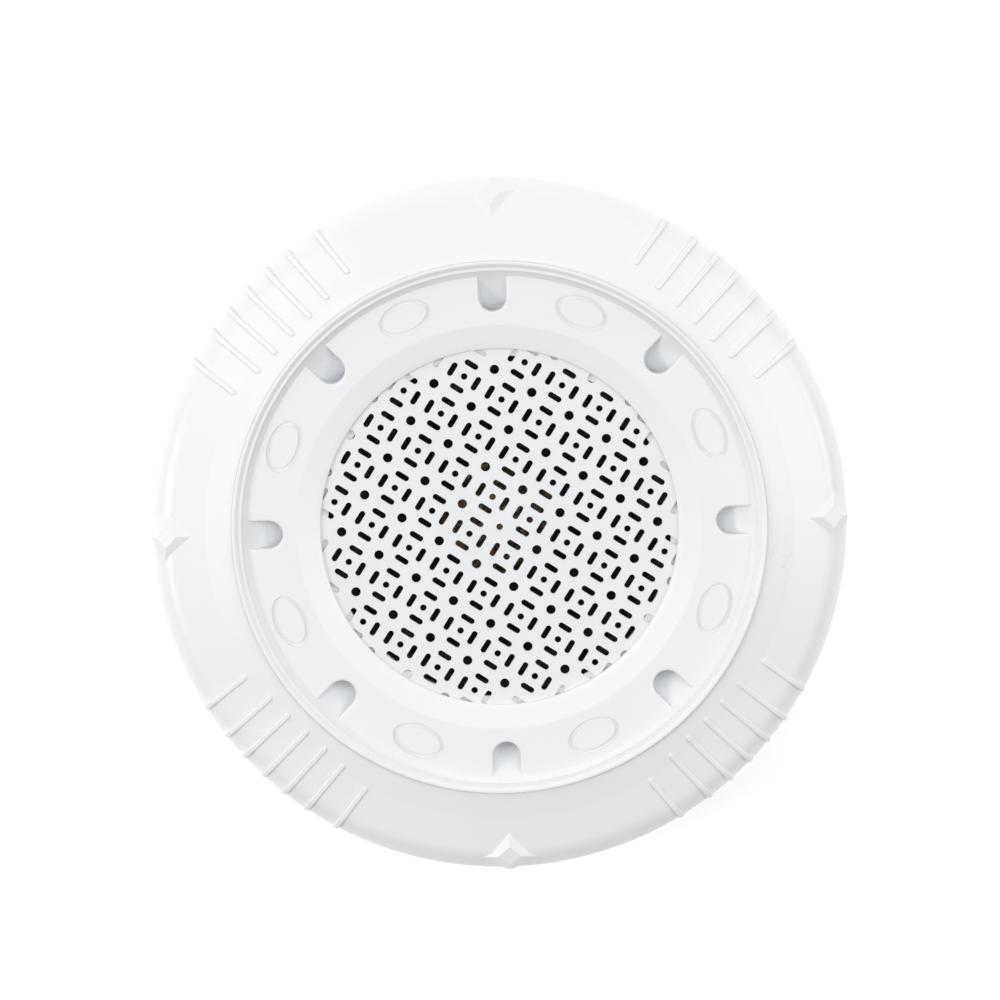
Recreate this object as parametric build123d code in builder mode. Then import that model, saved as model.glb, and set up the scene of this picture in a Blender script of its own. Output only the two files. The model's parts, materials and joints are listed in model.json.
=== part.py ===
from build123d import *
import os
from math import cos, hypot, radians, sin, tan

# Surface-mounted ceiling loudspeaker, lying on its back. Millimetres.
# The origin is the centre of the mounting face, +Z points out of the grille,
# and +Y points at one of the four raised diamonds on the shell.

# Overall
TOTAL_H = 55.0
SKIRT_R = 96.5
SKIRT_Z = 1.0
SHOULDER_R = 95.5
SHELL_WALL = 2.5

# Dish of the front shell, as radius and height
DISH_TOP = (73.4, 54.0)
DISH_BREAK = (80.6, 51.9)
DISH_SLOPE = 0.23
SHOULDER_FILLET = 7.5
WELL_R = 71.0
WELL_WALL_R = 77.5
BAFFLE_Z = (40.5, 43.0)
DRIVER_HOLE_R = 46.5

# Low grip ribs, in four groups that fan out from a point beyond the axis
RIB_FAN_X = -109.0
RIB_ANGLES = (-6.9, -4.2, -2.1, 0.0, 2.1, 4.2, 6.9)
RIB_START_R = (79.0, 77.4, 77.0, 77.0, 77.0, 77.4, 79.0)
RIB_W = 1.5
RIB_H = 0.5
RIB_EDGE = 0.35

# Raised diamonds: corners along and across the radius, from the origin of each tilted plane
DIAMOND_BASE = ((-9.6, 0), (1.9, -9.2), (6.0, 0), (1.9, 9.2))
DIAMOND_TOP = ((-3.1, 0), (0, -3.2), (2.6, 0), (0, 3.2))
DIAMOND_BASE_R = 90.0
DIAMOND_TOP_R = 91.6

# Bezel ring
BEZEL_R = 73.2
BEZEL_BODY_R = 70.6
BEZEL_BOTTOM_Z = 44.0
BEZEL_FLANGE_Z = 54.3
CREST_R = 72.4
FACE_OUTER_R = 69.0
FACE_INNER_R = 55.6
FACE_Z = 52.5
BEVEL_R = 50.3
BEVEL_Z = 51.4
LIP_R = 49.0
LIP_TOP_Z = 51.0
RETAINER_SEAT = (58.3, 47.2)

# Finger scoops and engraved marks of the bezel
SCOOPS = 8
SCOOP_W = 7.6
SCOOP_END_R = 59.3
SCOOP_END_Z = 45.1
SCOOP_SLOPE = 0.76
SCOOP_EDGE = 0.6
MARK_R = 62.9
MARK_LENGTH = 14.7
MARK_HEIGHT = 9.0
MARK_GROOVE = 1.1
MARK_DEPTH = 0.5

# Grille and its perforation, a square lattice
GRILLE_Z = 49.2
GRILLE_T = 1.0
GRILLE_R = 52.5
PITCH = 12.0
LATTICE_TURN = -33.6
BIG_HOLE_R = 1.3
SMALL_HOLE_R = 0.9
SLOT_LENGTH = 4.1
SLOT_W = 1.6
SLOT_OFFSET = 3.8
PERFORATED_R = 51.3
RETAINER_R = 47.0
RETAINER_Z = 46.1
RETAINER_SCREW_R = 55.6

# Bayonets: the bezel turns in the well, and the housing turns on the base
BEZEL_TWIST = 15.0
LUG_SPAN = 16.0
LUG_MARGIN = 1.5
GAP = 0.3

# Driver
FLANGE_R = 52.5
FLANGE_T = 1.2
SURROUND_Z = BAFFLE_Z[1] + FLANGE_T
SURROUND_T = 0.45
ROLL_R = 39.4
ROLL_W = 2.9
YOKE_Z = 5.0
MAGNET_Z = 9.0
TOP_PLATE_Z = (17.0, 21.0)
POLE_R = 9.0
FORMER_R = (9.35, 9.55)
WINDING_R = 9.9
SPIDER_Z = 26.4
CUP_R = 29.0
CONE_NECK_Z = 29.0
CONE_RIM_R = 34.4
CONE_T = 0.6
DUST_CAP_R = 16.0
DUST_CAP_RISE = 5.5
DUST_CAP_Z = 33.5
DRIVER_SCREW_R = 49.7
LUG_Z = 23.8
LUG_Y = 4.0
LUG_END_X = -42.0

# Transformer under the baffle, on the +X side
CORE_X = (56.0, 70.0)
CORE_Y = 16.0
CORE_Z = (13.5, 40.5)
LEG_Y = 5.3
WINDOW_Y = 10.8
WINDOW_Z = (19.0, 35.0)
COIL_X = (51.0, 75.0)

# Terminal block under the baffle, on the -X side, and capacitor on the -Y side
BLOCK_X = (-70.0, -54.0)
BLOCK_Y = 14.0
BLOCK_Z = 28.0
CLAMP_Y = (-9.0, -3.0, 3.0, 9.0)
ENTRY_Z = 34.0
CAPACITOR_Y = (-66.0, -56.5)
CAPACITOR_X = 9.5
CAPACITOR_Z = 25.5
LEAD_R = 0.7
TINSEL_R = 0.4

# Base
BASE_R = 90.0
BASE_T = 2.5
BASE_RIM_H = 10.0
HOOK_R = 92.6
HOOK_Z = (7.5, 9.5)
SHELL_LUG_Z = (4.5, 7.0)
SCREW_PCD = 150.0
SCREW_HOLE_R = 2.25
CABLE_Y = 58.0
CABLE_R = 5.0
CABLE_HOLE_R = 7.0
SEAL_R = (81.0, 85.0)
SEAL_T = 1.5

os.makedirs("parts", exist_ok=True)


def save(part, name):
    """Label a finished piece and write it as its own STEP."""
    part.label = name
    export_step(part, f"parts/{name}.step")


def dish_z(r):
    """Height of the dish surface before its shoulder is rounded."""
    if r <= DISH_BREAK[0]:
        share = (r - DISH_TOP[0]) / (DISH_BREAK[0] - DISH_TOP[0])
        return DISH_TOP[1] + share * (DISH_BREAK[1] - DISH_TOP[1])
    return DISH_BREAK[1] - DISH_SLOPE * (r - DISH_BREAK[0])


def dish_block(lift, bottom_z):
    """Solid of revolution under the dish surface, raised by lift, with its shoulder rounded."""
    skirt_r = SKIRT_R + lift
    shoulder = (SHOULDER_R + lift, dish_z(SHOULDER_R) + lift)
    with BuildPart() as block:
        with BuildSketch(Plane.XZ) as profile:
            Polygon(
                (0, bottom_z),
                (skirt_r, bottom_z),
                shoulder,
                (DISH_BREAK[0], DISH_BREAK[1] + lift),
                (DISH_TOP[0], DISH_TOP[1] + lift),
                (0, DISH_TOP[1] + lift),
                align=None,
            )
            fillet(profile.vertices().group_by(Axis.X)[-2], SHOULDER_FILLET)
        revolve(axis=Axis.Z)
    return block.part


def rib_prism(angle, start_r):
    """Upright slab along one grip rib of the group that points along +X."""
    start = start_r - RIB_FAN_X
    length = SKIRT_R + 1.0 - start_r
    with BuildPart() as slab:
        with BuildSketch(Plane(origin=(RIB_FAN_X, 0, 40.0)).rotated((0, 0, angle))):
            with Locations((start + length / 2, 0)):
                Rectangle(length, RIB_W)
        extrude(amount=15.0)
        fillet(slab.edges().filter_by(Axis.Z).sort_by(Axis.X)[:2], RIB_W / 2 - 0.05)
    return slab.part


def skirt_limit():
    """Cylinder that keeps raised marks flush with the top of the skirt."""
    with BuildPart() as limit:
        with BuildSketch(Plane.XY.offset(30.0)):
            Circle(SHOULDER_R)
        extrude(amount=30.0)
    return limit.part


def grip_ribs():
    """Seven low ribs that follow the dish and end flush with the skirt, for one group."""
    raised = dish_block(RIB_H, 40.0) & skirt_limit()
    ribs = []
    for angle, start_r in zip(RIB_ANGLES, RIB_START_R):
        rib = (raised & rib_prism(angle, start_r)).solids()[0]
        top = [edge for edge in rib.edges() if edge.bounding_box().min.Z > 40.5]
        ribs.append(rib.fillet(RIB_EDGE, top))
    return ribs


def diamond():
    """Kite-shaped raised mark with a small flat top near its outer point, on the +X side."""
    base = Plane(
        origin=(DIAMOND_BASE_R, 0, dish_z(DIAMOND_BASE_R) - 1.2),
        x_dir=(1, 0, -DISH_SLOPE),
        z_dir=(DISH_SLOPE, 0, 1),
    )
    top = Plane(
        origin=(DIAMOND_TOP_R, 0, dish_z(DIAMOND_TOP_R) + 0.95),
        x_dir=(1, 0, -0.3),
        z_dir=(0.3, 0, 1),
    )
    with BuildPart() as mark:
        with BuildSketch(base):
            Polygon(*DIAMOND_BASE, align=None)
        with BuildSketch(top):
            Polygon(*DIAMOND_TOP, align=None)
        loft(ruled=True)
        with BuildSketch(base):
            Polygon(*DIAMOND_BASE, align=None)
        extrude(amount=-2.5)
        add(skirt_limit(), mode=Mode.INTERSECT)
    return mark.part


def sector(r_in, r_out, z_low, z_high, span, middle):
    """Part of a flat ring that spans an angle about its middle direction."""
    with BuildPart() as piece:
        with BuildSketch(Plane.XZ.rotated((0, 0, middle - span / 2))):
            with Locations(((r_in + r_out) / 2, (z_low + z_high) / 2)):
                Rectangle(r_out - r_in, z_high - z_low)
        revolve(axis=Axis.Z, revolution_arc=span)
    return piece.part


def corner_angles():
    """The four diagonal directions, in degrees."""
    return [45 + 90 * k for k in range(4)]


def build_front_shell():
    ribs = grip_ribs()
    mark = diamond()
    cavity_corner = (SHOULDER_R - SHELL_WALL, dish_z(SHOULDER_R) - SHELL_WALL)
    with BuildPart() as shell:
        add(dish_block(0, SKIRT_Z))
        with PolarLocations(0, 4, start_angle=45):
            add(ribs)
        with PolarLocations(0, 4):
            add(mark)
        # Cavity behind the dish
        with BuildSketch(Plane.XZ) as cavity:
            Polygon(
                (WELL_WALL_R, SKIRT_Z),
                (SKIRT_R - SHELL_WALL, SKIRT_Z),
                cavity_corner,
                (WELL_WALL_R, dish_z(WELL_WALL_R) - SHELL_WALL),
                align=None,
            )
            corner = cavity.vertices().sort_by_distance(Vector(*cavity_corner))[0]
            fillet(corner, SHOULDER_FILLET - SHELL_WALL)
        revolve(axis=Axis.Z, mode=Mode.SUBTRACT)
        # Well for the bezel, above the baffle
        with BuildSketch(Plane.XY.offset(BAFFLE_Z[1])):
            Circle(WELL_R)
        extrude(amount=TOTAL_H, mode=Mode.SUBTRACT)
        # Space behind the baffle
        with BuildSketch(Plane.XY.offset(SKIRT_Z)):
            Circle(WELL_WALL_R + 0.5)
        extrude(amount=BAFFLE_Z[0] - SKIRT_Z, mode=Mode.SUBTRACT)
        # Bosses for the driver screws, then the driver opening and the screw holes
        with BuildSketch(Plane.XY.offset(BAFFLE_Z[0])):
            with PolarLocations(DRIVER_SCREW_R, 4, start_angle=45):
                Circle(3.2)
        extrude(amount=-4.0)
        with BuildSketch(Plane.XY.offset(BAFFLE_Z[0] - 4.0)):
            Circle(DRIVER_HOLE_R)
            with PolarLocations(DRIVER_SCREW_R, 4, start_angle=45):
                Circle(1.35)
        extrude(amount=TOTAL_H, mode=Mode.SUBTRACT)
        # Blind screw holes under the baffle, for the transformer and the terminal block
        with BuildSketch(Plane.XY.offset(BAFFLE_Z[0])):
            with Locations(*transformer_screw_places(), *block_screw_places()):
                Circle(1.15)
        extrude(amount=2.0, mode=Mode.SUBTRACT)
        # Bayonet grooves of the bezel, each open to the front through an entry slot
        for middle in corner_angles():
            groove_span = LUG_SPAN + BEZEL_TWIST + 2 * LUG_MARGIN
            add(
                sector(WELL_R - 0.5, 72.9, 45.7, 48.3, groove_span, middle + BEZEL_TWIST / 2),
                mode=Mode.SUBTRACT,
            )
            add(
                sector(WELL_R - 0.5, 72.9, 45.7, TOTAL_H, LUG_SPAN + 2 * LUG_MARGIN, middle + BEZEL_TWIST),
                mode=Mode.SUBTRACT,
            )
        # Lugs inside the skirt that turn under the hooks of the base
        for middle in corner_angles():
            add(sector(BASE_R + 0.9, SKIRT_R - SHELL_WALL + 0.6, *SHELL_LUG_Z, LUG_SPAN, middle))
    save(shell.part, "front_shell")


def engraved_mark():
    """Closed oval groove, cut into the face of the bezel on its +X side."""
    with BuildPart() as groove:
        with BuildSketch(Plane.XY.offset(FACE_Z - MARK_DEPTH)):
            with Locations((MARK_R, 0)):
                Ellipse(MARK_HEIGHT / 2, MARK_LENGTH / 2)
                Ellipse(MARK_HEIGHT / 2 - MARK_GROOVE, MARK_LENGTH / 2 - MARK_GROOVE, mode=Mode.SUBTRACT)
        extrude(amount=MARK_DEPTH + 1.0)
    return groove.part


def scoop_outline(grow):
    """Slot open outwards with a round inner end, grown on all sides."""
    centre = SCOOP_END_R + SCOOP_W / 2
    with BuildSketch() as outline:
        with Locations((centre, 0)):
            Circle(SCOOP_W / 2 + grow)
        with Locations(((centre + WELL_R) / 2, 0)):
            Rectangle(WELL_R - centre, SCOOP_W + 2 * grow)
    return outline.sketch


def scoop_cutter():
    """Scoop on the +X side: its rim is rounded, and its floor runs out into the band."""
    reach_z = SCOOP_END_Z + SCOOP_SLOPE * (WELL_R - SCOOP_END_R)
    with BuildPart() as slot:
        with BuildSketch(Plane.XY.offset(40.0)):
            add(scoop_outline(0))
        extrude(amount=TOTAL_H - 40.0 + 1.0)
        for turn in (0, 22.5, 45, 67.5, 90):
            depth = SCOOP_EDGE * (1 - sin(radians(turn)))
            with BuildSketch(Plane.XY.offset(FACE_Z - depth)):
                add(scoop_outline(SCOOP_EDGE * (1 - cos(radians(turn)))))
        loft(ruled=True)
        with BuildSketch(Plane.XZ):
            Polygon(
                (SCOOP_END_R - 3.0, SCOOP_END_Z),
                (SCOOP_END_R, SCOOP_END_Z),
                (WELL_R, reach_z),
                (WELL_R, TOTAL_H + 2.0),
                (SCOOP_END_R - 3.0, TOTAL_H + 2.0),
                align=None,
            )
        revolve(axis=Axis.Z, mode=Mode.INTERSECT)
    return slot.part


def build_bezel_ring():
    rounded = (
        (BEZEL_R, TOTAL_H, 0.35),
        (CREST_R, TOTAL_H, 0.35),
        (FACE_INNER_R, FACE_Z, 1.2),
        (BEVEL_R, BEVEL_Z, 0.8),
        (LIP_R, LIP_TOP_Z, 0.3),
    )
    with BuildPart() as bezel:
        with BuildSketch(Plane.XZ) as profile:
            Polygon(
                (LIP_R, GRILLE_Z + GRILLE_T),
                (GRILLE_R + GAP, GRILLE_Z + GRILLE_T),
                (GRILLE_R + GAP, RETAINER_SEAT[1]),
                RETAINER_SEAT,
                (RETAINER_SEAT[0], BEZEL_BOTTOM_Z),
                (BEZEL_BODY_R, BEZEL_BOTTOM_Z),
                (BEZEL_BODY_R, BEZEL_FLANGE_Z),
                (BEZEL_R, BEZEL_FLANGE_Z),
                (BEZEL_R, TOTAL_H),
                (CREST_R, TOTAL_H),
                (FACE_OUTER_R, FACE_Z),
                (FACE_INNER_R, FACE_Z),
                (BEVEL_R, BEVEL_Z),
                (LIP_R, LIP_TOP_Z),
                align=None,
            )
            for r, z, radius in rounded:
                fillet(profile.vertices().sort_by_distance(Vector(r, z))[0], radius)
        revolve(axis=Axis.Z)
        with PolarLocations(0, SCOOPS):
            add(scoop_cutter(), mode=Mode.SUBTRACT)
        with PolarLocations(0, SCOOPS, start_angle=22.5):
            add(engraved_mark(), mode=Mode.SUBTRACT)
        # Pockets behind the face, between the scoops
        for k in range(SCOOPS):
            middle = 22.5 + k * 360 / SCOOPS
            add(sector(60.8, 68.2, BEZEL_BOTTOM_Z - 1.0, 49.8, 24.0, middle), mode=Mode.SUBTRACT)
        # Lugs that turn in the grooves of the well
        for middle in corner_angles():
            add(sector(BEZEL_BODY_R - 0.5, 72.6, 46.0, 48.0, LUG_SPAN, middle))
        # Pilot holes for the retainer screws
        with BuildSketch(Plane.XY.offset(RETAINER_SEAT[1])):
            with PolarLocations(RETAINER_SCREW_R, 4, start_angle=22.5):
                Circle(0.95)
        extrude(amount=3.0, mode=Mode.SUBTRACT)
    save(bezel.part, "bezel_ring")


def lattice_places():
    """Centres of the big holes, the small holes and the two directions of slots, inside the plate."""
    reach = 6
    big = []
    small = [(0.0, 0.0)]
    along = []
    across = []
    for i in range(-reach, reach):
        for j in range(-reach, reach):
            if (i, j) != (0, 0):
                big.append((i * PITCH, j * PITCH))
            x = (i + 0.5) * PITCH
            y = (j + 0.5) * PITCH
            small.append((x, y))
            for side in (-SLOT_OFFSET, SLOT_OFFSET):
                along.append((x, y + side))
                across.append((x + side, y))
    return big, small, along, across


def inside(places, margin):
    """The places whose hole lies wholly inside the perforated disc."""
    return [place for place in places if hypot(*place) + margin < PERFORATED_R]


def build_grille():
    big, small, along, across = lattice_places()
    with BuildPart() as grille:
        with BuildSketch(Plane.XY.offset(GRILLE_Z).rotated((0, 0, LATTICE_TURN))):
            Circle(GRILLE_R)
            with Locations(*inside(big, BIG_HOLE_R)):
                Circle(BIG_HOLE_R, mode=Mode.SUBTRACT)
            with Locations(*inside(small, SMALL_HOLE_R)):
                Circle(SMALL_HOLE_R, mode=Mode.SUBTRACT)
            with Locations(*inside(along, SLOT_LENGTH / 2)):
                SlotOverall(SLOT_LENGTH, SLOT_W, mode=Mode.SUBTRACT)
            with Locations(*inside(across, SLOT_LENGTH / 2)):
                SlotOverall(SLOT_LENGTH, SLOT_W, rotation=90, mode=Mode.SUBTRACT)
        extrude(amount=GRILLE_T)
    save(grille.part, "grille")


def build_grille_retainer():
    with BuildPart() as retainer:
        with BuildSketch(Plane.XZ):
            Polygon(
                (RETAINER_R, RETAINER_Z),
                (RETAINER_SEAT[0] - GAP, RETAINER_Z),
                (RETAINER_SEAT[0] - GAP, RETAINER_SEAT[1]),
                (GRILLE_R, RETAINER_SEAT[1]),
                (GRILLE_R, GRILLE_Z),
                (RETAINER_R, GRILLE_Z),
                align=None,
            )
        revolve(axis=Axis.Z)
        with BuildSketch(Plane.XY.offset(RETAINER_Z)):
            with PolarLocations(RETAINER_SCREW_R, 4, start_angle=22.5):
                Circle(1.05)
        extrude(amount=1.5, mode=Mode.SUBTRACT)
    save(retainer.part, "grille_retainer")


def pan_screw(shank_r, shank_l, head_r, head_h):
    """Pan-head screw along +Z: its shank starts at the origin and its head is below it."""
    with BuildPart() as screw:
        with BuildSketch(Plane.XY):
            Circle(shank_r)
        extrude(amount=shank_l)
        with BuildSketch(Plane.XY):
            Circle(head_r)
        extrude(amount=-head_h)
        fillet(screw.faces().sort_by(Axis.Z)[0].edges(), head_h * 0.45)
        with BuildSketch(Plane.XY.offset(-head_h)):
            Rectangle(head_r * 1.1, head_r * 0.28)
            Rectangle(head_r * 0.28, head_r * 1.1)
        extrude(amount=head_h * 0.5, mode=Mode.SUBTRACT)
        chamfer(screw.faces().sort_by(Axis.Z)[-1].edges(), shank_r * 0.4)
    return screw.part


def build_retainer_screws():
    screw = pan_screw(0.9, 3.6, 1.8, 1.2)
    with BuildPart() as screws:
        with Locations(Plane.XY.offset(RETAINER_Z)):
            with PolarLocations(RETAINER_SCREW_R, 4, start_angle=22.5):
                add(screw)
    save(screws.part, "retainer_screws")


def build_basket():
    foot_z = TOP_PLATE_Z[1]
    with BuildPart() as basket:
        with BuildSketch(Plane.XZ):
            Polygon(
                (12.0, foot_z),
                (CUP_R, foot_z),
                (CUP_R, 25.0),
                (45.2, 35.0),
                (46.1, 41.5),
                (46.1, BAFFLE_Z[1]),
                (FLANGE_R, BAFFLE_Z[1]),
                (FLANGE_R, SURROUND_Z),
                (41.9, SURROUND_Z),
                (41.9, BAFFLE_Z[1]),
                (44.8, 41.5),
                (44.0, 35.6),
                (CUP_R, SPIDER_Z),
                (26.9, SPIDER_Z),
                (26.9, foot_z + 1.2),
                (12.0, foot_z + 1.2),
                align=None,
            )
        revolve(axis=Axis.Z)
        # Four windows between the arms
        for k in range(4):
            add(sector(CUP_R + 1.5, 60.0, 27.5, 41.0, 62.0, 90 * k), mode=Mode.SUBTRACT)
        # Tab under the terminal strip
        with BuildSketch(Plane.XY.offset(foot_z)):
            with Locations((-33.0, 0)):
                Rectangle(10.0, 17.0)
        extrude(amount=1.2)
        # Holes for the driver screws
        with BuildSketch(Plane.XY.offset(BAFFLE_Z[1])):
            with PolarLocations(DRIVER_SCREW_R, 4, start_angle=45):
                Circle(1.5)
        extrude(amount=FLANGE_T, mode=Mode.SUBTRACT)
    save(basket.part, "basket")


def build_surround():
    with BuildPart() as surround:
        with BuildSketch(Plane.XZ):
            with Locations((ROLL_R, SURROUND_Z)):
                Circle(ROLL_W)
                Circle(ROLL_W - SURROUND_T, mode=Mode.SUBTRACT)
            with Locations((ROLL_R, SURROUND_Z - ROLL_W)):
                Rectangle(3 * ROLL_W, 2 * ROLL_W, mode=Mode.SUBTRACT)
            with Locations((ROLL_R - ROLL_W - 0.7, SURROUND_Z + SURROUND_T / 2)):
                Rectangle(2.2, SURROUND_T)
            with Locations((ROLL_R + ROLL_W + 1.8, SURROUND_Z + SURROUND_T / 2)):
                Rectangle(4.4, SURROUND_T)
        revolve(axis=Axis.Z)
    save(surround.part, "surround")


def build_basket_gasket():
    with BuildPart() as gasket:
        with BuildSketch(Plane.XY.offset(SURROUND_Z + SURROUND_T)):
            Circle(46.4)
            Circle(43.0, mode=Mode.SUBTRACT)
        extrude(amount=1.5)
        chamfer(gasket.faces().sort_by(Axis.Z)[-1].edges(), 0.3)
    save(gasket.part, "basket_gasket")


def build_cone():
    neck = FORMER_R[1]
    with BuildPart() as cone:
        with BuildSketch(Plane.XZ):
            Polygon(
                (neck, CONE_NECK_Z - 1.0),
                (neck + CONE_T, CONE_NECK_Z - 1.0),
                (neck + CONE_T, CONE_NECK_Z),
                (CONE_RIM_R, SURROUND_Z - CONE_T),
                (CONE_RIM_R + 1.9, SURROUND_Z - CONE_T),
                (CONE_RIM_R + 1.9, SURROUND_Z),
                (CONE_RIM_R - 0.2, SURROUND_Z),
                (neck, CONE_NECK_Z + 0.4),
                align=None,
            )
        revolve(axis=Axis.Z)
        # Two shallow stiffening rings pressed into the paper
        with BuildSketch(Plane.XZ):
            for r in (21.0, 27.5):
                share = (r - neck) / (CONE_RIM_R - 0.2 - neck)
                with Locations((r, CONE_NECK_Z + 0.4 + share * (SURROUND_Z - CONE_NECK_Z - 0.4))):
                    Circle(0.45)
        revolve(axis=Axis.Z)
    save(cone.part, "cone")


def build_dust_cap():
    thickness = 0.45
    with BuildPart() as cap:
        with BuildSketch(Plane.XZ):
            with BuildLine():
                outer = ThreePointArc(
                    (-DUST_CAP_R, DUST_CAP_Z),
                    (0, DUST_CAP_Z + DUST_CAP_RISE),
                    (DUST_CAP_R, DUST_CAP_Z),
                )
                inner = ThreePointArc(
                    (-DUST_CAP_R + thickness, DUST_CAP_Z),
                    (0, DUST_CAP_Z + DUST_CAP_RISE - thickness),
                    (DUST_CAP_R - thickness, DUST_CAP_Z),
                )
                Line(outer @ 0, inner @ 0)
                Line(outer @ 1, inner @ 1)
            make_face()
            with Locations((-DUST_CAP_R, DUST_CAP_Z)):
                Rectangle(2 * DUST_CAP_R, 4 * DUST_CAP_RISE, mode=Mode.SUBTRACT)
        revolve(axis=Axis.Z)
    save(cap.part, "dust_cap")


def build_tube(name, r_in, r_out, z_low, z_high):
    """Straight tube on the axis."""
    with BuildPart() as tube:
        with BuildSketch(Plane.XY.offset(z_low)):
            Circle(r_out)
            Circle(r_in, mode=Mode.SUBTRACT)
        extrude(amount=z_high - z_low)
    save(tube.part, name)


def build_spider():
    """Corrugated disc: a flat inner collar, six half waves and a flat outer rim."""
    thickness = 0.35
    rise = 0.8
    first = 11.2
    last = 26.2
    step = (last - first) / 6
    with BuildPart() as spider:
        with BuildSketch(Plane.XZ):
            with BuildLine():
                for z in (SPIDER_Z, SPIDER_Z + thickness):
                    Line((FORMER_R[1], z), (first, z))
                    for k in range(6):
                        side = rise if k % 2 == 0 else -rise
                        start = first + k * step
                        ThreePointArc((start, z), (start + step / 2, z + side), (start + step, z))
                    Line((last, z), (CUP_R - 0.2, z))
                for r in (FORMER_R[1], CUP_R - 0.2):
                    Line((r, SPIDER_Z), (r, SPIDER_Z + thickness))
            make_face()
        revolve(axis=Axis.Z)
    save(spider.part, "spider")


def build_yoke():
    with BuildPart() as yoke:
        with BuildSketch(Plane.XY.offset(YOKE_Z)):
            Circle(27.0)
        extrude(amount=MAGNET_Z - YOKE_Z)
        chamfer(yoke.faces().sort_by(Axis.Z)[0].edges(), 1.0)
        with BuildSketch(Plane.XY.offset(MAGNET_Z)):
            Circle(POLE_R)
        extrude(amount=TOP_PLATE_Z[1] - MAGNET_Z)
        chamfer(yoke.faces().sort_by(Axis.Z)[-1].edges(), 0.5)
    save(yoke.part, "yoke")


def build_driver_terminal_strip():
    with BuildPart() as strip:
        with BuildSketch(Plane.XY.offset(TOP_PLATE_Z[1] + 1.2)):
            with Locations((-34.0, 0)):
                Rectangle(7.0, 15.0)
        extrude(amount=1.6)
        fillet(strip.edges().filter_by(Axis.Z), 1.0)
    save(strip.part, "driver_terminal_strip")


def build_terminal_lugs():
    with BuildPart() as lugs:
        with BuildSketch(Plane.XY.offset(LUG_Z)):
            with Locations((LUG_END_X + 4.5, LUG_Y), (LUG_END_X + 4.5, -LUG_Y)):
                Rectangle(9.0, 2.8)
        extrude(amount=0.6)
        fillet(lugs.edges().filter_by(Axis.Z), 0.6)
    save(lugs.part, "terminal_lugs")


def build_driver_screws():
    screw = pan_screw(1.3, 7.2, 2.6, 1.4)
    with BuildPart() as screws:
        with Locations(Plane(origin=(0, 0, SURROUND_Z), x_dir=(1, 0, 0), z_dir=(0, 0, -1))):
            with PolarLocations(DRIVER_SCREW_R, 4, start_angle=45):
                add(screw)
    save(screws.part, "driver_screws")


def transformer_screw_places():
    """Fixing screws of the transformer bracket."""
    middle = (CORE_X[0] + CORE_X[1]) / 2
    return [(middle, CORE_Y + 4.8), (middle, -CORE_Y - 4.8)]


def block_screw_places():
    """Fixing screws of the terminal block, at the two ends of its base."""
    middle = (BLOCK_X[0] + BLOCK_X[1]) / 2
    return [(middle, BLOCK_Y + 3.2), (middle, -BLOCK_Y - 3.2)]


def build_transformer_core():
    middle = (CORE_X[0] + CORE_X[1]) / 2
    window_y = (LEG_Y + WINDOW_Y) / 2
    with BuildPart() as core:
        with BuildSketch(Plane.XY.offset(CORE_Z[0])):
            with Locations((middle, 0)):
                Rectangle(CORE_X[1] - CORE_X[0], 2 * CORE_Y)
        extrude(amount=CORE_Z[1] - CORE_Z[0])
        with BuildSketch(Plane.XY.offset(WINDOW_Z[0])):
            with Locations((middle, window_y), (middle, -window_y)):
                Rectangle(CORE_X[1] - CORE_X[0], WINDOW_Y - LEG_Y)
        extrude(amount=WINDOW_Z[1] - WINDOW_Z[0], mode=Mode.SUBTRACT)
    save(core.part, "transformer_core")


def build_transformer_winding():
    middle = (CORE_X[0] + CORE_X[1]) / 2
    with BuildPart() as winding:
        with BuildSketch(Plane.XY.offset(WINDOW_Z[0] + 0.5)):
            with Locations((middle, 0)):
                RectangleRounded(COIL_X[1] - COIL_X[0], 2 * WINDOW_Y - 0.5, 3.0)
                Rectangle(CORE_X[1] - CORE_X[0] + 0.2, 2 * LEG_Y + 0.2, mode=Mode.SUBTRACT)
        extrude(amount=WINDOW_Z[1] - WINDOW_Z[0] - 1.0)
    save(winding.part, "transformer_winding")


def build_transformer_bracket():
    middle = (CORE_X[0] + CORE_X[1]) / 2
    width = 10.0
    with BuildPart() as bracket:
        with BuildSketch(Plane.YZ.offset(middle - width / 2)):
            with Locations((0, (CORE_Z[0] + CORE_Z[1]) / 2 - 0.5)):
                Rectangle(2 * CORE_Y + 2.0, CORE_Z[1] - CORE_Z[0] + 1.0)
            with Locations((0, CORE_Z[1] - 0.5)):
                Rectangle(2 * CORE_Y + 16.0, 1.0)
            with Locations((0, (CORE_Z[0] + CORE_Z[1]) / 2)):
                Rectangle(2 * CORE_Y, CORE_Z[1] - CORE_Z[0], mode=Mode.SUBTRACT)
        extrude(amount=width)
        with BuildSketch(Plane.XY.offset(CORE_Z[1] - 1.0)):
            with Locations(*transformer_screw_places()):
                Circle(1.25)
        extrude(amount=1.0, mode=Mode.SUBTRACT)
    save(bracket.part, "transformer_bracket")


def build_transformer_screws():
    screw = pan_screw(1.1, 2.8, 2.1, 1.3)
    with BuildPart() as screws:
        with Locations(Plane.XY.offset(CORE_Z[1] - 1.0)):
            with Locations(*transformer_screw_places()):
                add(screw)
    save(screws.part, "transformer_screws")


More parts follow.
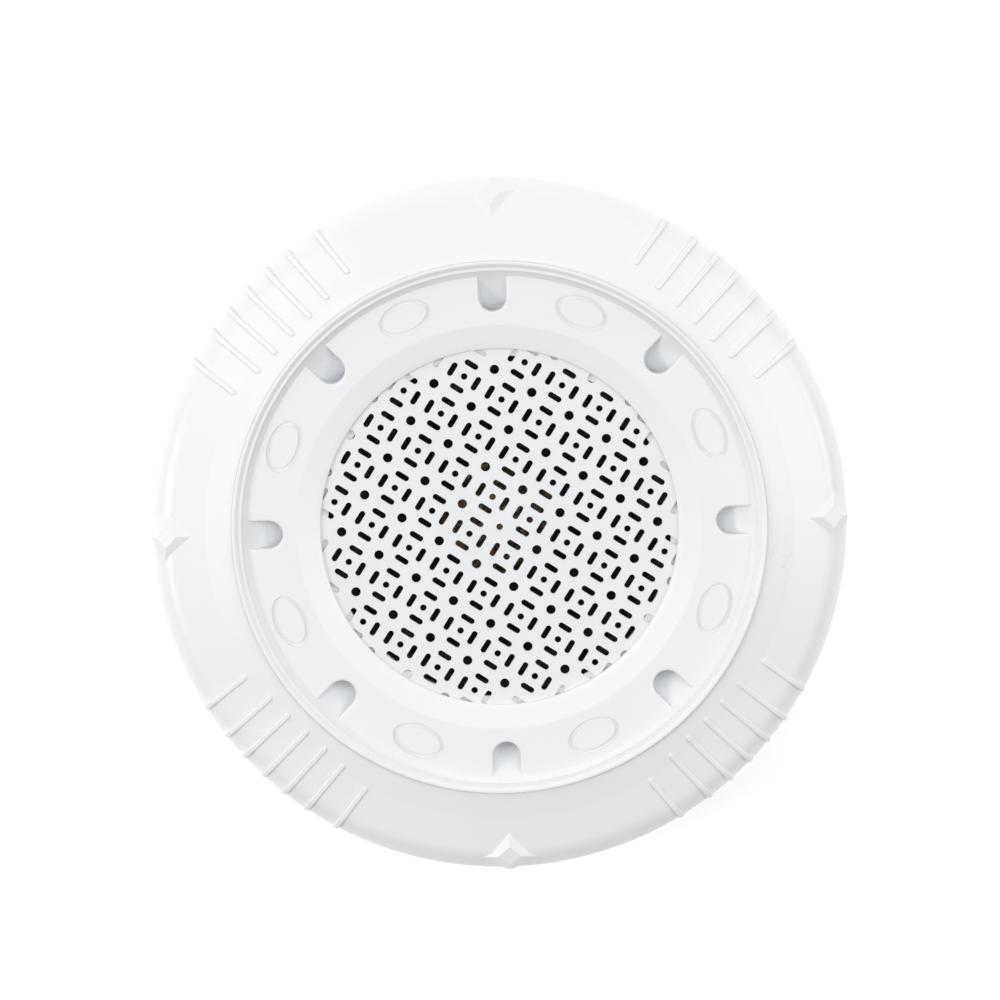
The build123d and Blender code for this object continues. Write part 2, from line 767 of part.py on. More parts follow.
def build_terminal_block():
    middle = (BLOCK_X[0] + BLOCK_X[1]) / 2
    top_z = BAFFLE_Z[0]
    with BuildPart() as block:
        with BuildSketch(Plane.XY.offset(BLOCK_Z)):
            with Locations((middle, 0)):
                Rectangle(BLOCK_X[1] - BLOCK_X[0], 2 * BLOCK_Y)
        extrude(amount=top_z - BLOCK_Z)
        chamfer(block.faces().sort_by(Axis.Z)[0].edges(), 0.8)
        with BuildSketch(Plane.XY.offset(top_z)):
            with Locations((middle, 0)):
                Rectangle(9.0, 2 * BLOCK_Y + 12.0)
        extrude(amount=-2.0)
        # Clamp screw wells from behind, and wire entries from both sides
        with BuildSketch(Plane.XY.offset(BLOCK_Z)):
            with Locations(*[(middle, y) for y in CLAMP_Y]):
                Circle(2.0)
        extrude(amount=4.5, mode=Mode.SUBTRACT)
        for side in (BLOCK_X[0], BLOCK_X[1] - 5.0):
            with BuildSketch(Plane.YZ.offset(side)):
                with Locations(*[(y, ENTRY_Z) for y in CLAMP_Y]):
                    Circle(1.6)
            extrude(amount=5.0, mode=Mode.SUBTRACT)
        with BuildSketch(Plane.XY.offset(top_z)):
            with Locations(*block_screw_places()):
                Circle(1.25)
        extrude(amount=-2.0, mode=Mode.SUBTRACT)
    save(block.part, "terminal_block")


def build_clamp_screws():
    middle = (BLOCK_X[0] + BLOCK_X[1]) / 2
    with BuildPart() as screws:
        with BuildSketch(Plane.XY.offset(BLOCK_Z + 1.5)):
            with Locations(*[(middle, y) for y in CLAMP_Y]):
                Circle(1.9)
        extrude(amount=3.0)
        with BuildSketch(Plane.XY.offset(BLOCK_Z + 1.5)):
            with Locations(*[(middle, y) for y in CLAMP_Y]):
                Rectangle(3.4, 0.6)
        extrude(amount=0.9, mode=Mode.SUBTRACT)
    save(screws.part, "clamp_screws")


def build_block_screws():
    screw = pan_screw(1.1, 3.8, 2.1, 1.3)
    with BuildPart() as screws:
        with Locations(Plane.XY.offset(BAFFLE_Z[0] - 2.0)):
            with Locations(*block_screw_places()):
                add(screw)
    save(screws.part, "block_screws")


def build_capacitor():
    with BuildPart() as capacitor:
        with BuildSketch(Plane.XY.offset(CAPACITOR_Z)):
            with Locations((0, (CAPACITOR_Y[0] + CAPACITOR_Y[1]) / 2)):
                Rectangle(2 * CAPACITOR_X, CAPACITOR_Y[1] - CAPACITOR_Y[0])
        extrude(amount=BAFFLE_Z[0] - CAPACITOR_Z)
        fillet(capacitor.edges().filter_by(Axis.Z), 1.5)
        fillet(capacitor.faces().sort_by(Axis.Z)[0].edges(), 0.8)
    save(capacitor.part, "capacitor")


def around(radius, angle, z):
    """Point at a radius and an angle about the axis."""
    return (radius * cos(radians(angle)), radius * sin(radians(angle)), z)


def build_lead(name, section_r, routes):
    """Round leads along straight runs joined by arcs as large as the runs allow."""
    with BuildPart() as leads:
        for route in routes:
            points = [Vector(*point) for point in route]
            radii = []
            for before, here, after in zip(points, points[1:], points[2:]):
                turn = radians((here - before).get_angle(after - here))
                shorter = min((here - before).length, (after - here).length)
                radii.append(0.45 * shorter / tan(turn / 2))
            with BuildLine() as path:
                FilletPolyline(*points, radius=radii)
            with BuildSketch(Plane(origin=points[0], z_dir=points[1] - points[0])):
                Circle(section_r)
            sweep(path=path.line)
            length = sum(edge.length for edge in path.edges())
            print(name, "length", round(length, 1), "radii", [round(r, 1) for r in radii])
    save(leads.part, name)


def build_leads():
    coil_end = WINDOW_Y - 0.25
    primary_z = 30.0
    secondary_z = 24.0
    coil_x = CORE_X[0] - 2.4
    hole_x = BLOCK_X[1] - 3.5
    live = [
        (hole_x, CLAMP_Y[3], ENTRY_Z),
        (-50.0, 10.5, ENTRY_Z),
        around(52.5, 152, 33.5),
        around(53.0, 132, 33),
        around(53.0, 110, 33),
        around(53.5, 88, 32.5),
        around(53.0, 66, 32.5),
        around(53.0, 46, 32),
        (50.5, 25.0, 31),
        (coil_x, coil_end, primary_z),
    ]
    to_capacitor = [
        (hole_x, CLAMP_Y[0], ENTRY_Z),
        (-50.0, -10.5, ENTRY_Z),
        around(52.5, 208, 33.5),
        around(54.0, 224, 33),
        around(56.0, 240, 33),
        (-16.5, -59.5, 33),
        (-CAPACITOR_X, -61.0, 33),
    ]
    from_capacitor = [
        (CAPACITOR_X, -61.0, 33),
        (17.0, -59.0, 33),
        around(56.5, 302, 32.5),
        around(54.0, 318, 32),
        (50.5, -25.0, 31),
        (coil_x, -coil_end, primary_z),
    ]
    build_lead("line_leads", LEAD_R, [live, to_capacitor, from_capacitor])
    driver_routes = []
    for side in (1, -1):
        driver_routes.append(
            [
                (coil_x, side * coil_end, secondary_z),
                (50.0, side * 23.0, 22.5),
                around(51.5, side * 46, 20.5),
                around(50.0, side * 68, 19.5),
                around(49.5, side * 92, 19),
                around(49.5, side * 116, 19.5),
                around(49.5, side * 140, 21),
                around(50.0, side * 160, 23),
                (LUG_END_X - 5.5, side * (LUG_Y + 2.0), LUG_Z + 0.2),
                (LUG_END_X - 0.3, side * LUG_Y, LUG_Z + 0.3),
            ]
        )
    build_lead("driver_leads", 0.6, driver_routes)
    tinsel_routes = []
    for side in (1, -1):
        tinsel_routes.append(
            [
                (-33.8, side * LUG_Y, LUG_Z + 0.6),
                (-33.4, side * (LUG_Y + 0.2), 29.5),
                (-28.5, side * (LUG_Y + 0.4), 33.0),
                (-22.3, side * LUG_Y, 35.9),
            ]
        )
    build_lead("tinsel_leads", TINSEL_R, tinsel_routes)


def build_mounting_base():
    with BuildPart() as base:
        with BuildSketch(Plane.XY):
            Circle(BASE_R)
        extrude(amount=BASE_T)
        with BuildSketch(Plane.XY.offset(BASE_T)):
            Circle(BASE_R)
            Circle(BASE_R - 2.5, mode=Mode.SUBTRACT)
        extrude(amount=BASE_RIM_H - BASE_T)
        # Stiffening ribs
        with BuildSketch(Plane.XY.offset(BASE_T)):
            Circle(37.5)
            Circle(36.0, mode=Mode.SUBTRACT)
            with PolarLocations(62.5, 8, start_angle=22.5):
                Rectangle(52.0, 1.5)
        extrude(amount=2.0)
        # Bosses round the ceiling screws
        with BuildSketch(Plane.XY.offset(BASE_T)):
            with PolarLocations(SCREW_PCD / 2, 4, start_angle=45):
                Circle(5.0)
        extrude(amount=1.0)
        with BuildSketch(Plane.XY):
            with PolarLocations(SCREW_PCD / 2, 4, start_angle=45):
                Circle(SCREW_HOLE_R)
            with Locations((0, CABLE_Y)):
                Circle(CABLE_HOLE_R)
        extrude(amount=BASE_RIM_H, mode=Mode.SUBTRACT)
        # Groove for the seal, in the mounting face
        with BuildSketch(Plane.XY):
            Circle(SEAL_R[1])
            Circle(SEAL_R[0], mode=Mode.SUBTRACT)
        extrude(amount=SEAL_T, mode=Mode.SUBTRACT)
        # Hooks that hold the lugs of the shell, each with a stop at its closed end
        for middle in corner_angles():
            add(sector(BASE_R - 0.5, HOOK_R, *HOOK_Z, LUG_SPAN, middle))
            stop = middle - LUG_SPAN / 2 - 2.0
            add(sector(BASE_R - 0.5, HOOK_R, SHELL_LUG_Z[0], HOOK_Z[1], 2.6, stop))
    save(base.part, "mounting_base")


def build_cable_grommet():
    with BuildPart() as grommet:
        with BuildSketch(Plane.XZ):
            Polygon(
                (CABLE_R, 0),
                (CABLE_HOLE_R, 0),
                (CABLE_HOLE_R, BASE_T),
                (9.5, BASE_T),
                (9.5, BASE_T + 1.5),
                (CABLE_R + 1.6, BASE_T + 2.0),
                (CABLE_R + 1.2, BASE_T + 5.0),
                (CABLE_R, BASE_T + 5.0),
                align=None,
            )
        revolve(axis=Axis.Z)
    save(Pos(0, CABLE_Y, 0) * grommet.part, "cable_grommet")


build_front_shell()
build_bezel_ring()
build_grille()
build_grille_retainer()
build_retainer_screws()
build_basket()
build_surround()
build_basket_gasket()
build_cone()
build_dust_cap()
build_tube("voice_coil_former", *FORMER_R, 14.5, CONE_NECK_Z + 1.5)
build_tube("voice_coil_winding", FORMER_R[1], WINDING_R, 16.0, 22.0)
build_spider()
build_tube("top_plate", 10.2, 27.0, *TOP_PLATE_Z)
build_tube("magnet", 14.0, 30.0, MAGNET_Z, TOP_PLATE_Z[0])
build_yoke()
build_driver_terminal_strip()
build_terminal_lugs()
build_driver_screws()
build_transformer_core()
build_transformer_winding()
build_transformer_bracket()
build_transformer_screws()
build_terminal_block()
build_clamp_screws()
build_block_screws()
build_capacitor()
build_leads()
build_mounting_base()
build_cable_grommet()
build_tube("base_seal", *SEAL_R, 0.0, SEAL_T)
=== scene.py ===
import json
import math

import bpy
from mathutils import Matrix, Vector
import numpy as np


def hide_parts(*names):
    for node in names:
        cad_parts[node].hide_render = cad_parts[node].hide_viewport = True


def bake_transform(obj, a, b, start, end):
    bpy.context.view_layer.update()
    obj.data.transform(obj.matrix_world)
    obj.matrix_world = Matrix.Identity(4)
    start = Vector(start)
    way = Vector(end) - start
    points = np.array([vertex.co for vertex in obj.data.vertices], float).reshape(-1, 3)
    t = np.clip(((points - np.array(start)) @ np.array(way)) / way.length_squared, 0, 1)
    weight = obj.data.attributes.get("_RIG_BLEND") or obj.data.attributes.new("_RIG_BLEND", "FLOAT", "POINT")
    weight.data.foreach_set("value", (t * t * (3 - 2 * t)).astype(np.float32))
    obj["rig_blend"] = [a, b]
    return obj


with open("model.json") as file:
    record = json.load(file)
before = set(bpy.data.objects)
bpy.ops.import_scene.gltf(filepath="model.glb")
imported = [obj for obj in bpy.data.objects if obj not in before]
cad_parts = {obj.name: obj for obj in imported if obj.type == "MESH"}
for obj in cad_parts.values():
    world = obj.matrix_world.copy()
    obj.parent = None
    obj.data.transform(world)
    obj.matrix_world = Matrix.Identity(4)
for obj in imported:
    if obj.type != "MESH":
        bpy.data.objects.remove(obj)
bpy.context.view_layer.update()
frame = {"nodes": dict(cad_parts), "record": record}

MM = 0.001
NODES = frame["nodes"]
SLOTS = {part["node"]: part["material_slot"] for part in frame["record"]["subparts"]}

# Camera: long lens, nearly straight down, leaning towards +Y
FOCUS_Z = 52.5 * MM
LEAN = math.radians(6.5)
ROLL = math.radians(1.8)
LENS = 200.0
SENSOR = 36.0
VIEW_WIDTH = 273.3 * MM
AIM_RIGHT = 0.1 * MM
AIM_UP = 7.6 * MM


# ---------------------------------------------------------------- materials


class Paint:
    """One procedural material: object coordinates, in metres, feed every texture."""

    def __init__(self, name, colour, roughness, metallic=0.0):
        self.material = bpy.data.materials.new(name)
        self.material.use_nodes = True
        self.nodes = self.material.node_tree.nodes
        self.links = self.material.node_tree.links
        self.shader = self.nodes["Principled BSDF"]
        self.shader.inputs["Base Color"].default_value = (*colour, 1.0)
        self.shader.inputs["Roughness"].default_value = roughness
        self.shader.inputs["Metallic"].default_value = metallic
        self.colour = colour
        self.place = self.nodes.new("ShaderNodeTexCoord").outputs["Object"]
        self.normal = None

    def add(self, kind, inputs=None, **settings):
        node = self.nodes.new(kind)
        for key, value in settings.items():
            setattr(node, key, value)
        for key, value in (inputs or {}).items():
            if isinstance(value, bpy.types.NodeSocket):
                self.links.new(value, node.inputs[key])
            else:
                node.inputs[key].default_value = value
        return node

    def noise(self, size, detail=2.0, roughness=0.5, stretch=(1, 1, 1)):
        """Noise whose features are about size metres across."""
        place = self.add("ShaderNodeMapping", {"Vector": self.place, "Scale": stretch}).outputs[0]
        return self.add(
            "ShaderNodeTexNoise",
            {"Vector": place, "Scale": 1.0 / size, "Detail": detail, "Roughness": roughness},
        ).outputs["Fac"]

    def cells(self, size, feature="F1"):
        return self.add(
            "ShaderNodeTexVoronoi", {"Vector": self.place, "Scale": 1.0 / size}, feature=feature
        ).outputs["Distance"]

    def remap(self, value, low, high, to_low=0.0, to_high=1.0):
        return self.add(
            "ShaderNodeMapRange",
            {"Value": value, "From Min": low, "From Max": high, "To Min": to_low, "To Max": to_high},
        ).outputs["Result"]

    def math(self, operation, a, b):
        node = self.add("ShaderNodeMath", operation=operation)
        for slot, value in ((0, a), (1, b)):
            if isinstance(value, bpy.types.NodeSocket):
                self.links.new(value, node.inputs[slot])
            else:
                node.inputs[slot].default_value = value
        return node.outputs[0]

    def vector(self, operation, *values):
        node = self.add("ShaderNodeVectorMath", dict(enumerate(values)), operation=operation)
        return node.outputs

    def bands(self, pitch, axis, distortion=0.0, profile="SIN"):
        """Stripes stacked along one axis, one every pitch metres."""
        inputs = {"Vector": self.place, "Scale": math.pi / 10 / pitch, "Distortion": distortion}
        wave = self.add("ShaderNodeTexWave", inputs, bands_direction=axis, wave_profile=profile)
        return wave.outputs["Fac"]

    def blend_colour(self, share, other):
        """Mixes another colour over what the base colour already is, by share."""
        mix = self.add("ShaderNodeMix", data_type="RGBA")
        self.links.new(share, mix.inputs[0])
        base = self.shader.inputs["Base Color"]
        if base.is_linked:
            self.links.new(base.links[0].from_socket, mix.inputs[6])
        else:
            mix.inputs[6].default_value = base.default_value
        mix.inputs[7].default_value = (*other, 1.0)
        self.links.new(mix.outputs[2], base)

    def vary_roughness(self, value, low, high):
        self.links.new(self.remap(value, 0.3, 0.7, low, high), self.shader.inputs["Roughness"])

    def bump(self, height, depth, strength=1.0):
        """Relief of depth metres, on top of any relief already there."""
        inputs = {"Height": height, "Distance": depth, "Strength": strength}
        if self.normal is not None:
            inputs["Normal"] = self.normal
        self.normal = self.add("ShaderNodeBump", inputs).outputs["Normal"]
        self.links.new(self.normal, self.shader.inputs["Normal"])


def moulded_plastic(name, colour, roughness=0.3, grain=0.35 * MM, relief=0.004 * MM):
    """Satin moulded plastic: fine tool grain, faint flow marks, slight sheen changes."""
    paint = Paint(name, colour, roughness)
    paint.shader.inputs["IOR"].default_value = 1.5
    paint.shader.inputs["Subsurface Weight"].default_value = 0.06
    paint.shader.inputs["Subsurface Radius"].default_value = (1.0, 0.95, 0.9)
    paint.shader.inputs["Subsurface Scale"].default_value = 1.2 * MM
    flow = paint.noise(45 * MM, 2.0, 0.5)
    paint.blend_colour(paint.remap(flow, 0.35, 0.7), tuple(c * 0.985 for c in colour))
    specks = paint.noise(0.9 * MM, 2.0, 0.6)
    paint.blend_colour(paint.remap(specks, 0.64, 0.8, 0.0, 0.35), tuple(c * 0.95 for c in colour))
    paint.vary_roughness(paint.noise(16 * MM, 3.0, 0.5), roughness - 0.02, roughness + 0.03)
    paint.bump(paint.noise(grain, 3.0, 0.6), relief)
    return paint


# Patch of handling marks: its middle, how it is squeezed, and its reach from faint edge to full core
MARKS_AT = (76.5 * MM, -13 * MM, 53 * MM)
MARKS_SQUEEZE = (1.0, 0.34, 0.5)
MARKS_EDGE = 4.6 * MM
MARKS_CORE = 1.2 * MM


def shell_plastic():
    paint = moulded_plastic("white_shell_plastic", (0.83, 0.845, 0.86))
    # Handling marks on the dish, beside the bezel
    offset = paint.vector("SUBTRACT", paint.place, MARKS_AT)["Vector"]
    squeezed = paint.vector("MULTIPLY", offset, MARKS_SQUEEZE)["Vector"]
    distance = paint.vector("LENGTH", squeezed)["Value"]
    patch = paint.remap(distance, MARKS_EDGE, MARKS_CORE)
    marks = paint.remap(paint.noise(1.6 * MM, 4.0, 0.7), 0.52, 0.66)
    share = paint.math("MULTIPLY", paint.math("MULTIPLY", patch, marks), 0.5)
    paint.blend_colour(share, (0.66, 0.67, 0.68))
    return paint.material


def base_plastic():
    return moulded_plastic("white_base_plastic", (0.8, 0.81, 0.82), 0.5, 0.5 * MM, 0.012 * MM).material


def grille_coat():
    """Powder coat on sheet metal: orange peel, and faint darker patches."""
    paint = Paint("white_grille_coat", (0.8, 0.815, 0.83), 0.4)
    paint.vary_roughness(paint.noise(5 * MM, 3.0), 0.36, 0.48)
    paint.blend_colour(paint.remap(paint.noise(22 * MM, 3.0), 0.45, 0.8, 0.0, 0.4), (0.76, 0.775, 0.79))
    paint.bump(paint.noise(0.55 * MM, 1.5), 0.008 * MM)
    paint.bump(paint.cells(0.9 * MM), 0.004 * MM)
    return paint.material


def rubber(name, colour, grain):
    paint = Paint(name, colour, 0.75)
    paler = tuple(c * 2.2 + 0.01 for c in colour)
    paint.blend_colour(paint.remap(paint.noise(4 * MM, 4.0), 0.5, 0.8, 0.0, 0.5), paler)
    paint.vary_roughness(paint.noise(2 * MM, 3.0), 0.65, 0.85)
    paint.bump(paint.noise(grain, 4.0, 0.65), 0.03 * MM)
    return paint.material


def foam():
    paint = Paint("grey_foam", (0.05, 0.05, 0.052), 0.95)
    cell = paint.cells(0.6 * MM)
    paint.blend_colour(paint.remap(cell, 0.2, 0.7, 0.0, 0.6), (0.015, 0.015, 0.016))
    paint.bump(cell, 0.15 * MM)
    return paint.material


def brushed_metal(name, colour, stretch, roughness=0.35, grain=0.12 * MM):
    """Plated or ground metal: streaks along one direction, and dull patches."""
    paint = Paint(name, colour, roughness, 1.0)
    streak = paint.noise(grain, 3.0, 0.6, stretch)
    paint.vary_roughness(streak, roughness - 0.08, roughness + 0.16)
    duller = tuple(c * 0.72 for c in colour)
    paint.blend_colour(paint.remap(paint.noise(6 * MM, 4.0), 0.45, 0.8, 0.0, 0.45), duller)
    paint.bump(streak, 0.004 * MM)
    return paint.material


def painted_steel():
    paint = Paint("black_steel_paint", (0.012, 0.012, 0.013), 0.5)
    paint.vary_roughness(paint.noise(3 * MM, 3.0), 0.42, 0.6)
    paint.blend_colour(paint.remap(paint.noise(9 * MM, 4.0), 0.55, 0.8, 0.0, 0.4), (0.03, 0.03, 0.032))
    paint.bump(paint.noise(0.4 * MM, 2.0), 0.01 * MM)
    return paint.material


def ferrite():
    paint = Paint("dark_ferrite", (0.035, 0.036, 0.04), 0.55)
    paint.blend_colour(paint.remap(paint.noise(0.7 * MM, 4.0, 0.7), 0.5, 0.75, 0.0, 0.7), (0.09, 0.09, 0.1))
    paint.vary_roughness(paint.noise(4 * MM, 3.0), 0.45, 0.7)
    paint.bump(paint.noise(0.5 * MM, 4.0, 0.7), 0.03 * MM)
    return paint.material


def pressed_paper(name, colour, fleck):
    """Felted pulp: long fibres pressed into the sheet."""
    paint = Paint(name, colour, 0.85)
    fibre = paint.noise(0.35 * MM, 4.0, 0.7, (1.0, 0.25, 1.0))
    crossed = paint.noise(0.35 * MM, 4.0, 0.7, (0.25, 1.0, 1.0))
    paint.blend_colour(paint.remap(fibre, 0.55, 0.75, 0.0, 0.8), fleck)
    paint.blend_colour(paint.remap(crossed, 0.6, 0.8, 0.0, 0.6), fleck)
    paint.bump(fibre, 0.05 * MM)
    paint.bump(crossed, 0.05 * MM)
    return paint.material


def dust_cap_finish():
    """Lacquered paper dome, browned and mottled by glue."""
    paint = Paint("dust_cap_paper", (0.05, 0.035, 0.022), 0.42)
    blot = paint.noise(3.2 * MM, 4.0, 0.65)
    paint.blend_colour(paint.remap(blot, 0.5, 0.62, 0.0, 0.9), (0.42, 0.27, 0.13))
    paint.blend_colour(paint.remap(paint.noise(1.4 * MM, 3.0), 0.6, 0.7, 0.0, 0.8), (0.6, 0.47, 0.3))
    paint.vary_roughness(blot, 0.3, 0.6)
    paint.bump(paint.noise(0.8 * MM, 4.0), 0.06 * MM)
    return paint.material


def woven_cloth():
    """Resin-dipped plain weave of the spider, as threads in two directions."""
    paint = Paint("spider_cloth", (0.5, 0.33, 0.11), 0.7)
    weave = paint.math("MULTIPLY", paint.bands(0.6 * MM, "X"), paint.bands(0.6 * MM, "Y"))
    # Painted shade: the colour is darkened in the gaps between threads, where the weave relief is lowest
    paint.blend_colour(paint.remap(weave, 0.1, 0.6, 0.6, 0.0), (0.2, 0.11, 0.03))
    paint.blend_colour(paint.remap(paint.noise(5 * MM, 3.0), 0.5, 0.8, 0.0, 0.4), (0.62, 0.45, 0.2))
    paint.bump(weave, 0.08 * MM)
    return paint.material


def wound_wire(name, colour, pitch):
    """Close turns of wire round Z."""
    paint = Paint(name, colour, 0.3, 1.0)
    turns = paint.bands(pitch, "Z")
    # Painted shade: the colour is darkened in the grooves between turns, where the relief is lowest
    paint.blend_colour(paint.remap(turns, 0.0, 0.5, 0.7, 0.0), tuple(c * 0.25 for c in colour))
    paint.vary_roughness(paint.noise(2 * MM), 0.22, 0.4)
    paint.bump(turns, 0.06 * MM)
    return paint.material


def stacked_steel():
    """Varnished laminations, stacked along X."""
    paint = Paint("core_laminations", (0.22, 0.22, 0.23), 0.45, 0.85)
    sheets = paint.bands(0.5 * MM, "X")
    paint.blend_colour(paint.remap(sheets, 0.0, 0.3, 0.8, 0.0), (0.03, 0.025, 0.02))
    paint.blend_colour(paint.remap(paint.noise(3 * MM, 4.0), 0.55, 0.75, 0.0, 0.6), (0.16, 0.08, 0.04))
    paint.bump(sheets, 0.05 * MM)
    return paint.material


def wrapped_tape():
    """Glossy tape over a winding, with lap lines."""
    paint = Paint("winding_tape", (0.62, 0.42, 0.05), 0.22)
    paint.shader.inputs["Coat Weight"].default_value = 0.4
    laps = paint.bands(5 * MM, "Z", 0.6, "SAW")
    paint.blend_colour(paint.remap(laps, 0.9, 1.0, 0.0, 0.6), (0.4, 0.24, 0.02))
    paint.blend_colour(paint.remap(paint.noise(7 * MM, 3.0), 0.5, 0.8, 0.0, 0.5), (0.75, 0.55, 0.12))
    paint.bump(laps, 0.05 * MM)
    paint.bump(paint.noise(4 * MM, 3.0), 0.08 * MM)
    return paint.material


def board():
    paint = Paint("brown_board", (0.2, 0.09, 0.035), 0.5)
    fibres = paint.noise(0.8 * MM, 4.0, 0.7, (1, 0.2, 1))
    paint.blend_colour(paint.remap(fibres, 0.5, 0.75, 0.0, 0.7), (0.3, 0.16, 0.07))
    paint.vary_roughness(paint.noise(2 * MM), 0.4, 0.6)
    paint.bump(paint.noise(0.4 * MM, 3.0), 0.01 * MM)
    return paint.material


def sleeve(name, colour):
    """Extruded PVC insulation: glossy, with a faint fine grain and dust."""
    paint = Paint(name, colour, 0.32)
    paint.vary_roughness(paint.noise(1.5 * MM, 3.0), 0.25, 0.45)
    dusty = tuple(min(1, c * 1.5 + 0.02) for c in colour)
    paint.blend_colour(paint.remap(paint.noise(2.5 * MM, 4.0), 0.55, 0.8, 0.0, 0.4), dusty)
    paint.bump(paint.noise(0.3 * MM, 2.0), 0.004 * MM)
    return paint.material


def epoxy_box():
    paint = Paint("capacitor_case", (0.5, 0.035, 0.02), 0.3)
    paint.vary_roughness(paint.noise(3 * MM, 3.0), 0.24, 0.42)
    paint.blend_colour(paint.remap(paint.noise(6 * MM, 4.0), 0.5, 0.8, 0.0, 0.5), (0.38, 0.02, 0.012))
    paint.bump(paint.noise(0.5 * MM, 3.0), 0.01 * MM)
    return paint.material


AROUND = (1.0, 1.0, 0.05)
ALONG_X = (0.05, 1.0, 1.0)
SLOT_FINISH = {
    "white_shell": shell_plastic(),
    "white_grille": grille_coat(),
    "white_base": base_plastic(),
    "black_rubber": rubber("black_rubber", (0.012, 0.012, 0.012), 0.4 * MM),
    "grey_foam": foam(),
    "zinc_screws": brushed_metal("zinc_screws", (0.62, 0.62, 0.6), (1, 1, 1)),
    "black_steel": painted_steel(),
    "zinc_steel": brushed_metal("zinc_steel", (0.58, 0.57, 0.54), AROUND),
    "dark_ferrite": ferrite(),
    "cone_paper": pressed_paper("cone_paper", (0.012, 0.012, 0.013), (0.04, 0.04, 0.042)),
    "dust_cap_paper": dust_cap_finish(),
    "spider_cloth": woven_cloth(),
    "former_foil": brushed_metal("former_foil", (0.75, 0.75, 0.76), AROUND, 0.25),
    "copper_wire": wound_wire("copper_wire", (0.72, 0.33, 0.14), 0.25 * MM),
    "brown_board": board(),
    "brass_lugs": brushed_metal("brass_lugs", (0.72, 0.62, 0.42), ALONG_X),
    "core_steel": stacked_steel(),
    "winding_tape": wrapped_tape(),
    "terminal_plastic": moulded_plastic("terminal_plastic", (0.04, 0.16, 0.07), 0.45).material,
    "capacitor_case": epoxy_box(),
    "red_lead": sleeve("red_lead", (0.5, 0.015, 0.012)),
    "black_lead": sleeve("black_lead", (0.012, 0.012, 0.012)),
}


def paint_nodes():
    """Gives every CAD node the finish of its material slot."""
    for name, finish in SLOTS.items():
        for slot in NODES[name].material_slots:
            slot.material = SLOT_FINISH[finish]


# ---------------------------------------------------------------- pieces that flex with the cone


def from_axis(point):
    return math.hypot(point.x, point.y)


def along_x(point):
    return point.x


# Where the basket holds each piece, where it moves fully with the cone, and how places between are measured
FLEXIBLE = {
    "surround": (42.3 * MM, 36.5 * MM, from_axis),
    "spider": (26.2 * MM, 11.2 * MM, from_axis),
    "tinsel_leads": (-33.0 * MM, -24.0 * MM, along_x),
}


def stretch(node, fixed, free, measure):
    """Copy of a flexible node that bends between the basket and the cone."""
    piece = bpy.data.objects.new(node + "_flex", NODES[node].data.copy())
    piece.matrix_world = NODES[node].matrix_world
    bpy.context.scene.collection.objects.link(piece)
    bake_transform(piece, "housing", "cone_assembly", start=(fixed, 0, 0), end=(free, 0, 0))
    # The blend weighs points along one line, but a ring bends along every radius
    shares = piece.data.attributes["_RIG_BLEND"].data
    for point, share in zip(piece.data.vertices, shares):
        way = min(max((measure(point.co) - fixed) / (free - fixed), 0.0), 1.0)
        share.value = way * way * (3 - 2 * way)
    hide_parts(node)


def flexible_pieces():
    for node, ends in FLEXIBLE.items():
        stretch(node, *ends)


# ---------------------------------------------------------------- stage


# Softboxes: direction and height in degrees, width in metres, power in watts
SOFTBOXES = {
    "left_front": (185, 38, 0.5, 4.8),
    "right_front": (5, 38, 0.5, 3.2),
    "left_high": (150, 64, 0.5, 2.3),
    "right_high": (0, 64, 0.5, 2.5),
    "back_high": (60, 64, 0.5, 0.8),
}
SOFTBOX_DISTANCE = 1.4
SOFTBOX_TARGET = Vector((0, 0, 40 * MM))
# The room's light falls off towards one side
DIM_SIDE = math.radians(287)
ROOM_BRIGHT = 0.96
ROOM_DIM = 0.11


def softbox(name, direction, height, width, power):
    """Round area light aimed at the middle of the object."""
    data = bpy.data.lights.new(name, "AREA")
    data.shape = "DISK"
    data.size = width
    data.energy = power
    turn, lift = math.radians(direction), math.radians(height)
    away = Vector((math.cos(turn) * math.cos(lift), math.sin(turn) * math.cos(lift), math.sin(lift)))
    light = bpy.data.objects.new(name, data)
    light.location = SOFTBOX_TARGET + away * SOFTBOX_DISTANCE
    light.rotation_euler = (-away).to_track_quat("-Z", "Y").to_euler()
    bpy.context.scene.collection.objects.link(light)


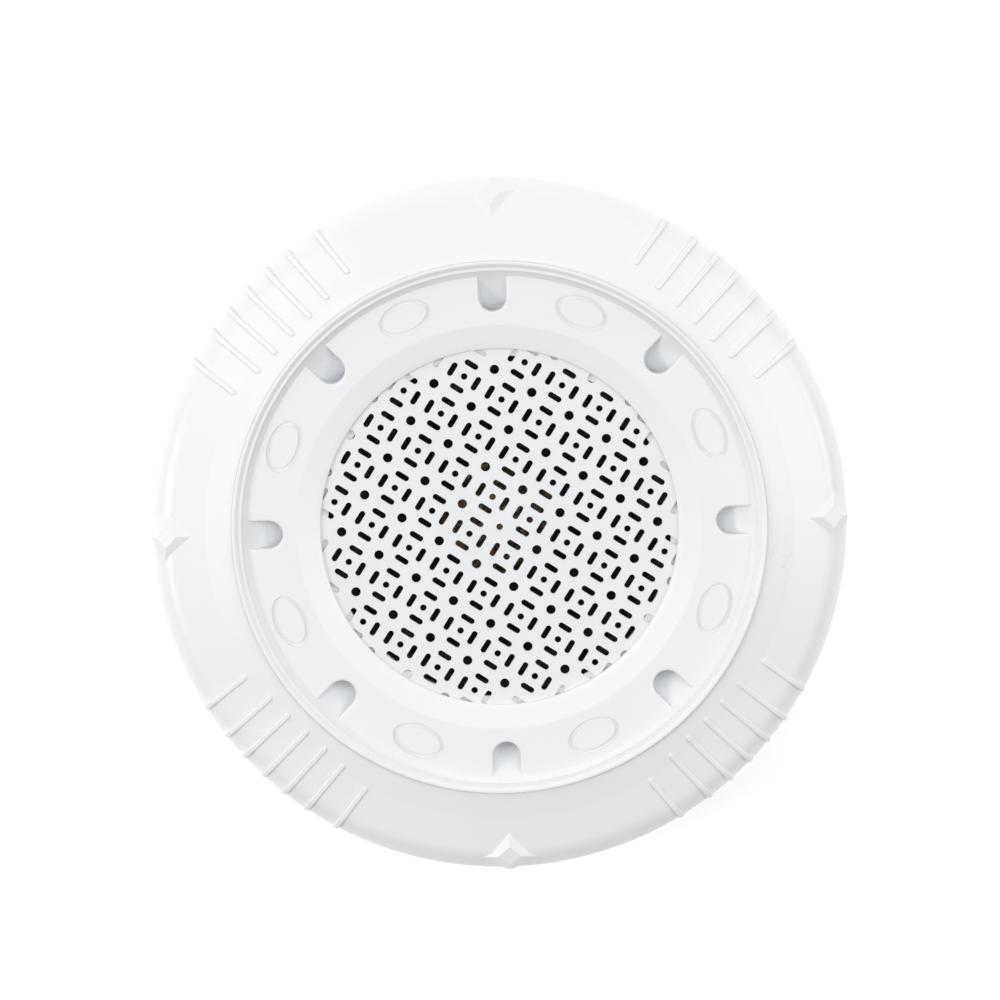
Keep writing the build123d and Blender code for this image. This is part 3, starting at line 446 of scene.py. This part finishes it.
def room():
    """Pale room that falls off towards one side."""
    world = bpy.data.worlds.new("room")
    world.use_nodes = True
    nodes, links = world.node_tree.nodes, world.node_tree.links
    background = nodes["Background"]
    background.inputs["Color"].default_value = (1.0, 1.0, 1.0, 1.0)
    place = nodes.new("ShaderNodeTexCoord")
    side = nodes.new("ShaderNodeVectorMath")
    side.operation = "DOT_PRODUCT"
    side.inputs[1].default_value = (math.cos(DIM_SIDE), math.sin(DIM_SIDE), 0)
    fall = nodes.new("ShaderNodeMapRange")
    fall.inputs["From Min"].default_value = -1
    fall.inputs["From Max"].default_value = 1
    fall.inputs["To Min"].default_value = ROOM_BRIGHT
    fall.inputs["To Max"].default_value = ROOM_DIM
    links.new(place.outputs["Generated"], side.inputs[0])
    links.new(side.outputs["Value"], fall.inputs["Value"])
    links.new(fall.outputs["Result"], background.inputs["Strength"])
    return world


def studio():
    for name, settings in SOFTBOXES.items():
        softbox(name, *settings)
    bpy.context.scene.world = room()
    bpy.context.scene.view_settings.view_transform = "Standard"
    bpy.context.scene.view_settings.look = "None"


# Floor: half its side and the gap under the part, in metres, and how strongly it glows
FLOOR_HALF = 3.0
FLOOR_DROP = 0.2 * MM
FLOOR_GLOW = 0.3


def floor():
    mesh = bpy.data.meshes.new("floor")
    corners = [(x * FLOOR_HALF, y * FLOOR_HALF, 0) for x, y in ((-1, -1), (1, -1), (1, 1), (-1, 1))]
    mesh.from_pydata(corners, [], [(0, 1, 2, 3)])
    plane = bpy.data.objects.new("floor", mesh)
    plane.location.z = -FLOOR_DROP
    bpy.context.scene.collection.objects.link(plane)
    paint = Paint("floor_paper", (0.93, 0.93, 0.93), 0.8)
    paint.shader.inputs["Emission Color"].default_value = (1, 1, 1, 1)
    paint.shader.inputs["Emission Strength"].default_value = FLOOR_GLOW
    paint.blend_colour(paint.remap(paint.noise(0.4, 2.0), 0.4, 0.7, 0.0, 0.3), (0.91, 0.91, 0.915))
    mesh.materials.append(paint.material)


def camera():
    data = bpy.data.cameras.new("camera")
    data.lens = LENS
    data.sensor_width = SENSOR
    distance = VIEW_WIDTH * LENS / SENSOR
    obj = bpy.data.objects.new("camera", data)
    back = Vector((0, math.sin(LEAN), math.cos(LEAN)))
    up = Vector((0, math.cos(LEAN), -math.sin(LEAN)))
    right = Vector((1, 0, 0))
    turned_right = right * math.cos(ROLL) - up * math.sin(ROLL)
    turned_up = up * math.cos(ROLL) + right * math.sin(ROLL)
    rotation = Matrix((turned_right, turned_up, back)).transposed().to_4x4()
    target = Vector((0, 0, FOCUS_Z)) + turned_right * AIM_RIGHT + turned_up * AIM_UP
    obj.matrix_world = Matrix.Translation(target + back * distance) @ rotation
    bpy.context.scene.collection.objects.link(obj)
    bpy.context.scene.camera = obj


camera()
paint_nodes()
flexible_pieces()
floor()
studio()
